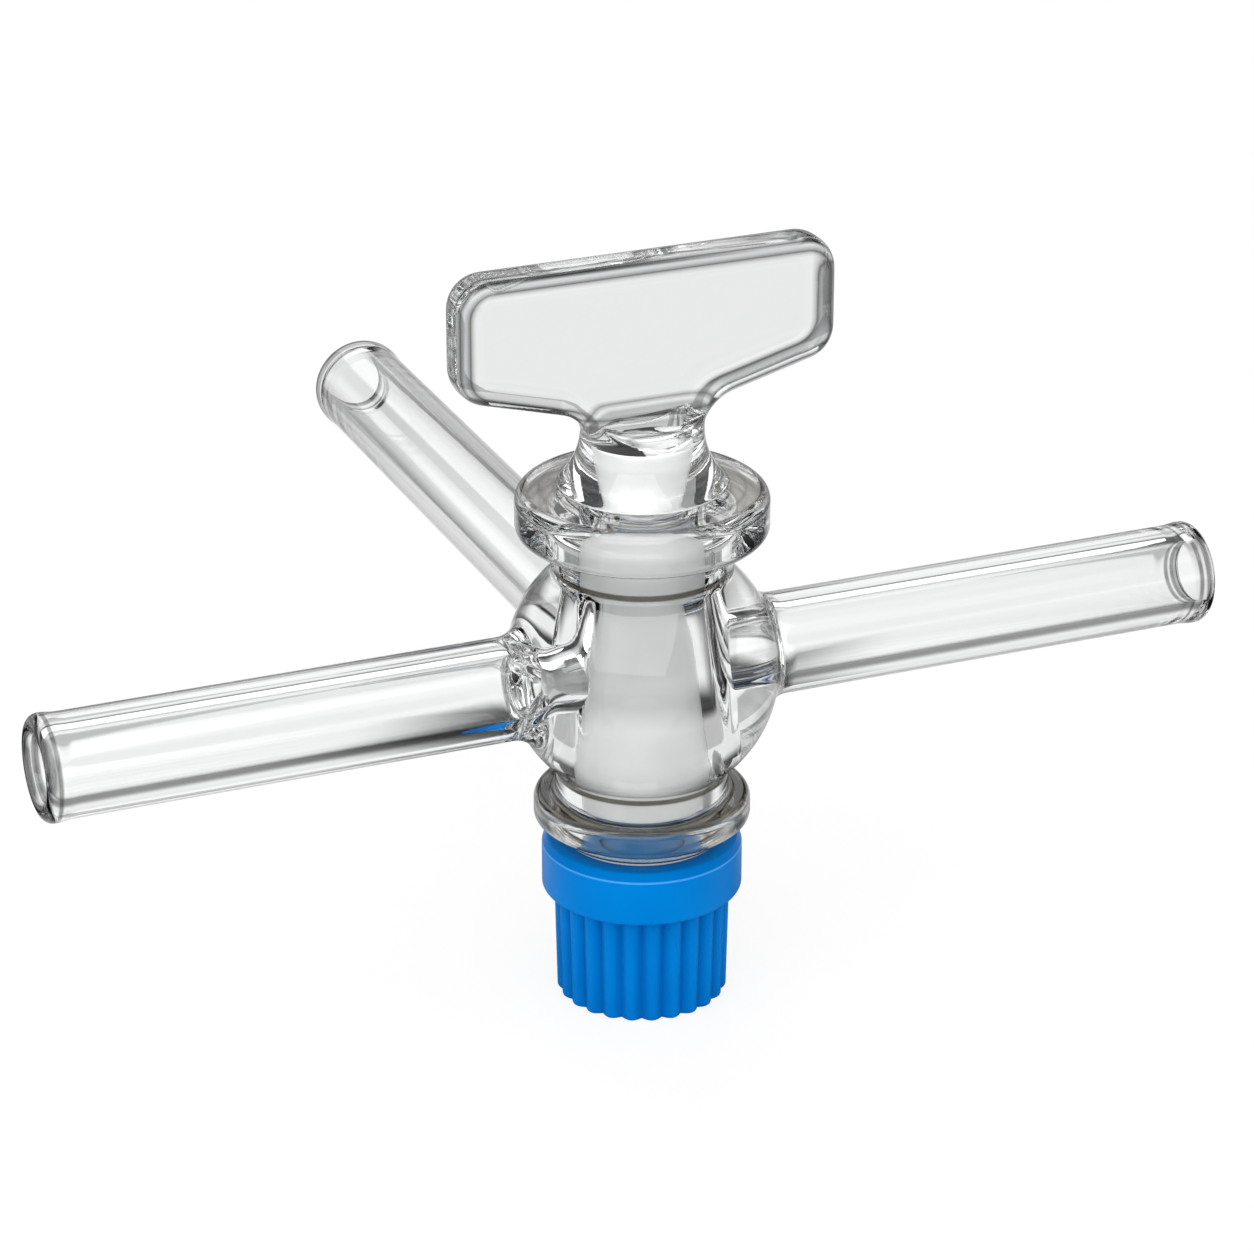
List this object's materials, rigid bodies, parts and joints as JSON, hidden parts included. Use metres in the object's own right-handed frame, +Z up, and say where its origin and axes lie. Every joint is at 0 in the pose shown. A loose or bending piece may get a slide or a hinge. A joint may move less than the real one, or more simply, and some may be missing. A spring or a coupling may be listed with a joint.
{
  "type": "glass stopcock",
  "caption": "Three-way glass stopcock: blown barrel with in-line run arms and a square branch arm, T-bored plug turned by a glass T-handle, fluted nut beneath that draws the plug down.",
  "frame": {"origin": "centre of the nut's closed end, the lowest face, on the plug's axis", "axes": "+Z up the plug's axis to the handle, +X along the run arms, +Y along the branch arm"},
  "size_m": [0.12, 0.0952, 0.0761],
  "materials": {
    "clear_glass": "clear, fire-polished borosilicate",
    "white_fluoropolymer": "waxy white, slightly translucent",
    "black_elastomer": "satin",
    "blue_plastic": "moulded, soft gloss"
  },
  "bodies": {
    "barrel": {"barrel": "clear_glass"},
    "key": {"plug": "white_fluoropolymer", "handle": "clear_glass"},
    "seal": {"washer": "white_fluoropolymer", "o_ring": "black_elastomer"},
    "nut": {"nut": "blue_plastic"}
  },
  "joints": [
    {"name": "plug_turn", "type": "hinge", "parent": "barrel", "child": "key", "pos_m": [0, 0, 0.0344], "axis": [0, 0, 1], "continuous": true},
    {"name": "nut_travel", "type": "slide", "parent": "key", "child": "seal", "axis": [0, 0, -1], "range_m": [0, 0.01051]},
    {"name": "nut_turn", "type": "hinge", "parent": "seal", "child": "nut", "pos_m": [0, 0, 0.008], "axis": [0, 0, -1], "range_deg": [0, 2520]}
  ],
  "couplings": [
    {"joint": "nut_travel", "follows": "nut_turn", "m_per_rad": 0.00023873}
  ]
}
